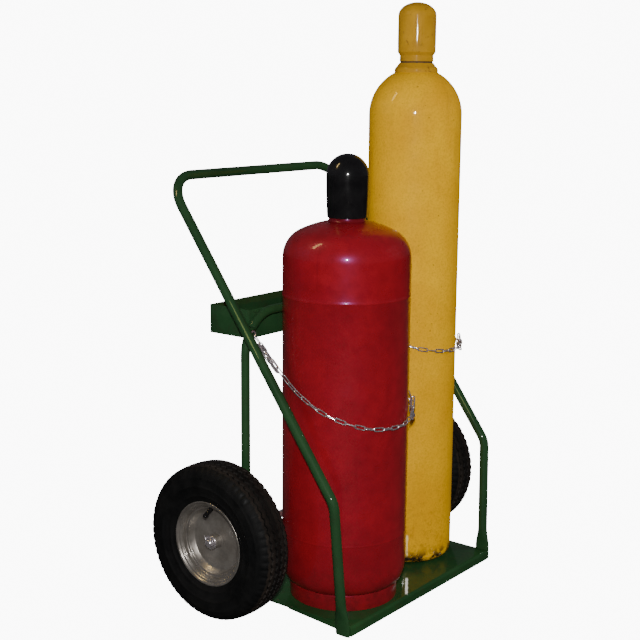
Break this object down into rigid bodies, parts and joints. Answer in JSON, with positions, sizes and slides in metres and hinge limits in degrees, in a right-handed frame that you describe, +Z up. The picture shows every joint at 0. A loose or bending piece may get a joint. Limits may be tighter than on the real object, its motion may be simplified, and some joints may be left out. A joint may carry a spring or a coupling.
{
  "type": "oxy acetylene torch cart",
  "caption": "Two-wheel tube-frame hand cart with toe plate, rear tray and chains, carrying a capped acetylene cylinder and a taller capped oxygen cylinder.",
  "frame": {"origin": "on the ground under the middle of the bounding box", "axes": "+Z up, -Y toward the toe plate's front edge, +X toward the oxygen cylinder, along the axle"},
  "size_m": [0.914, 0.5847, 1.463],
  "materials": {
    "green_paint": "gloss",
    "red_paint": "gloss",
    "yellow_paint": "gloss",
    "cap_yellow_paint": "gloss",
    "black_paint": "gloss",
    "rim_silver": "satin",
    "tyre_rubber": "matt",
    "tube_rubber": "matt",
    "zinc": "plated",
    "steel": "bare",
    "brass": "machined",
    "porous_filler": "matt"
  },
  "bodies": {
    "frame": {"axle": "steel", "centre_chain_lug": "green_paint", "centre_chain_ring": "zinc", "handle_tube": "green_paint", "left_axle_bracket": "green_paint", "left_chain_lug": "green_paint", "left_chain_ring": "zinc", "left_cotter_pin": "zinc", "left_frame_tube": "green_paint", "left_inner_washer": "zinc", "left_outer_washer": "zinc", "left_side_rib": "green_paint", "rear_hoop_tube": "green_paint", "red_side_chain": "zinc", "right_axle_bracket": "green_paint", "right_chain_lug": "green_paint", "right_chain_ring": "zinc", "right_cotter_pin": "zinc", "right_frame_tube": "green_paint", "right_inner_washer": "zinc", "right_outer_washer": "zinc", "right_side_rib": "green_paint", "toe_plate": "green_paint", "tray": "green_paint", "yellow_side_chain": "zinc"},
    "red_cylinder": {"red_shell": "red_paint", "red_foot_ring": "red_paint", "red_porous_filler": "porous_filler", "red_valve_body": "brass", "red_valve_outlet": "brass"},
    "red_cap": {"red_cap": "black_paint"},
    "red_handwheel": {"red_handwheel": "steel"},
    "yellow_cylinder": {"yellow_shell": "yellow_paint", "yellow_neck_ring": "yellow_paint", "yellow_valve_body": "brass", "yellow_valve_outlet": "brass"},
    "yellow_cap": {"yellow_cap": "cap_yellow_paint"},
    "yellow_handwheel": {"yellow_handwheel": "steel"},
    "left_wheel": {"left_tyre": "tyre_rubber", "left_inner_tube": "tube_rubber", "left_rim": "rim_silver", "left_hub": "rim_silver", "left_inner_bearing": "steel", "left_outer_bearing": "steel", "left_valve_stem": "tube_rubber", "left_valve_cap": "tube_rubber"},
    "right_wheel": {"right_tyre": "tyre_rubber", "right_inner_tube": "tube_rubber", "right_rim": "rim_silver", "right_hub": "rim_silver", "right_inner_bearing": "steel", "right_outer_bearing": "steel", "right_valve_stem": "tube_rubber", "right_valve_cap": "tube_rubber"}
  },
  "joints": [
    {"name": "left_wheel_spin", "type": "hinge", "parent": "frame", "child": "left_wheel", "pos_m": [-0.407, 0.0436, 0.19], "axis": [1, 0, 0], "continuous": true},
    {"name": "right_wheel_spin", "type": "hinge", "parent": "frame", "child": "right_wheel", "pos_m": [0.407, 0.0436, 0.19], "axis": [1, 0, 0], "continuous": true},
    {"name": "red_cylinder_lift", "type": "slide", "parent": "frame", "child": "red_cylinder", "axis": [0, 0, 1], "range_m": [0, 0.2]},
    {"name": "yellow_cylinder_lift", "type": "slide", "parent": "frame", "child": "yellow_cylinder", "axis": [0, 0, 1], "range_m": [0, 0.2]},
    {"name": "red_cap_lift", "type": "slide", "parent": "red_cylinder", "child": "red_cap", "axis": [0, 0, 1], "range_m": [0, 0.15]},
    {"name": "yellow_cap_lift", "type": "slide", "parent": "yellow_cylinder", "child": "yellow_cap", "axis": [0, 0, 1], "range_m": [0, 0.15]},
    {"name": "red_valve_turn", "type": "hinge", "parent": "red_cylinder", "child": "red_handwheel", "pos_m": [-0.146, -0.1344, 1.035], "axis": [0, 0, 1], "range_deg": [0, 540]},
    {"name": "yellow_valve_turn", "type": "hinge", "parent": "yellow_cylinder", "child": "yellow_handwheel", "pos_m": [0.182, -0.1004, 1.3955], "axis": [0, 0, 1], "range_deg": [0, 720]}
  ]
}
